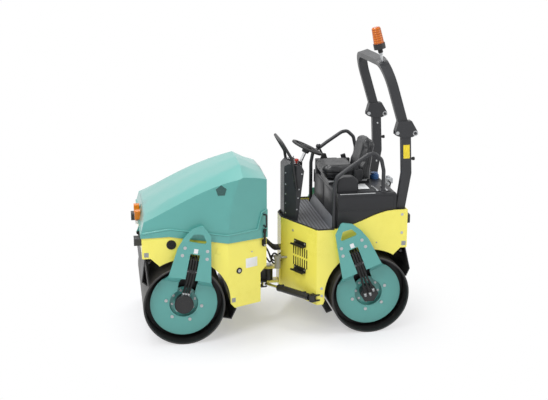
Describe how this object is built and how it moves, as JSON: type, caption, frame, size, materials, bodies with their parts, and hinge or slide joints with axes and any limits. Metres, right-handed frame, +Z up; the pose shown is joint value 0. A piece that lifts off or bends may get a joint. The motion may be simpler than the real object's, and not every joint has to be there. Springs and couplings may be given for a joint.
{
  "type": "tandem road roller",
  "caption": "Articulated ride-on tandem road roller with smooth drums, side forks, tapered hood, open platform with seat and console, and a fold-down roll bar.",
  "frame": {"origin": "on the ground, midway between the drums, under the steering pivot", "axes": "+X forward towards the hood, +Y the driver's left, +Z up"},
  "size_m": [2.792, 1.448, 3.0456],
  "materials": {
    "drum_steel": "rolled steel, worn smooth",
    "teal_paint": "satin paint",
    "yellow_paint": "gloss paint",
    "black_paint": "satin paint",
    "grey_paint": "satin anthracite paint",
    "dark_plastic": "grained moulding",
    "rubber": "matt",
    "seat_cover": "grained vinyl",
    "amber": "clear moulded lens",
    "lamp": "clear lens in a black housing",
    "red_lens": "moulded lens",
    "steel": "hard chrome",
    "engine_iron": "painted casting",
    "cap_blue": "moulded cap"
  },
  "bodies": {
    "rear_frame": {"rear_chassis": "yellow_paint", "rear_fork_left": "teal_paint", "rear_fork_right": "teal_paint", "rear_motors": "black_paint", "rear_hoses": "rubber", "floor_mat": "rubber", "steps": "black_paint", "tank": "dark_plastic", "tank_cap": "cap_blue", "fuel_filter": "steel", "seat_base": "grey_paint", "seat_cushion": "seat_cover", "seat_back": "seat_cover", "lever_box": "dark_plastic", "side_guard": "dark_plastic", "handrail_left": "grey_paint", "handrail_right": "grey_paint", "console": "dark_plastic", "console_handle": "black_paint", "steering_column": "steel", "rops_posts": "grey_paint", "rear_lamps": "red_lens", "rear_scraper_fore": "black_paint", "rear_scraper_aft": "black_paint", "rear_link": "yellow_paint", "barrel_lug": "black_paint", "link_hoses": "rubber"},
    "front_frame": {"front_chassis": "yellow_paint", "engine": "engine_iron", "front_fork_left": "teal_paint", "front_fork_right": "teal_paint", "front_motors": "black_paint", "front_hoses": "rubber", "hood_hinges": "black_paint", "latches": "rubber", "front_lamps": "lamp", "front_scraper_fore": "black_paint", "front_scraper_aft": "black_paint", "front_link": "black_paint"},
    "hood": {"hood": "teal_paint", "hood_handles": "black_paint", "flashers": "amber"},
    "front_drum": {"front_drum": "drum_steel"},
    "rear_drum": {"rear_drum": "drum_steel"},
    "rops_hoop": {"rops_hoop": "grey_paint", "beacon_base": "black_paint", "beacon_lens": "amber"},
    "steering_wheel": {"steering_wheel": "dark_plastic"},
    "steer_barrel": {"steer_barrel": "black_paint"},
    "steer_rod": {"steer_rod": "steel"}
  },
  "joints": [
    {"name": "articulation", "type": "hinge", "parent": "rear_frame", "child": "front_frame", "pos_m": [0, 0, 0.45], "axis": [0, 0, 1], "range_deg": [-30, 30], "deforming": ["link_hoses"]},
    {"name": "front_drum_roll", "type": "hinge", "parent": "front_frame", "child": "front_drum", "pos_m": [0.934, 0, 0.4], "axis": [0, 1, 0], "continuous": true},
    {"name": "rear_drum_roll", "type": "hinge", "parent": "rear_frame", "child": "rear_drum", "pos_m": [-0.934, 0, 0.4], "axis": [0, 1, 0], "continuous": true},
    {"name": "hood_open", "type": "hinge", "parent": "front_frame", "child": "hood", "pos_m": [1.352, 0, 1.07], "axis": [0, 1, 0], "range_deg": [0, 62]},
    {"name": "rops_fold", "type": "hinge", "parent": "rear_frame", "child": "rops_hoop", "pos_m": [-1.37, 0, 2.022], "axis": [0, -1, 0], "range_deg": [0, 150]},
    {"name": "steering_wheel_turn", "type": "hinge", "parent": "rear_frame", "child": "steering_wheel", "pos_m": [-0.411, 0, 1.788], "axis": [-0.4321, 0, 0.9018], "continuous": true},
    {"name": "steer_barrel_swing", "type": "hinge", "parent": "rear_frame", "child": "steer_barrel", "pos_m": [-0.35, 0.63, 0.385], "axis": [0, 0, 1], "range_deg": [-6, 6]},
    {"name": "steer_rod_slide", "type": "slide", "parent": "steer_barrel", "child": "steer_rod", "axis": [0.6266, -0.7794, 0], "range_m": [-0.08, 0.08]}
  ],
  "couplings": [
    {"joint": "steer_barrel_swing", "follows": "articulation", "ratio": -0.08565},
    {"joint": "steer_rod_slide", "follows": "articulation", "m_per_rad": -0.11761}
  ]
}
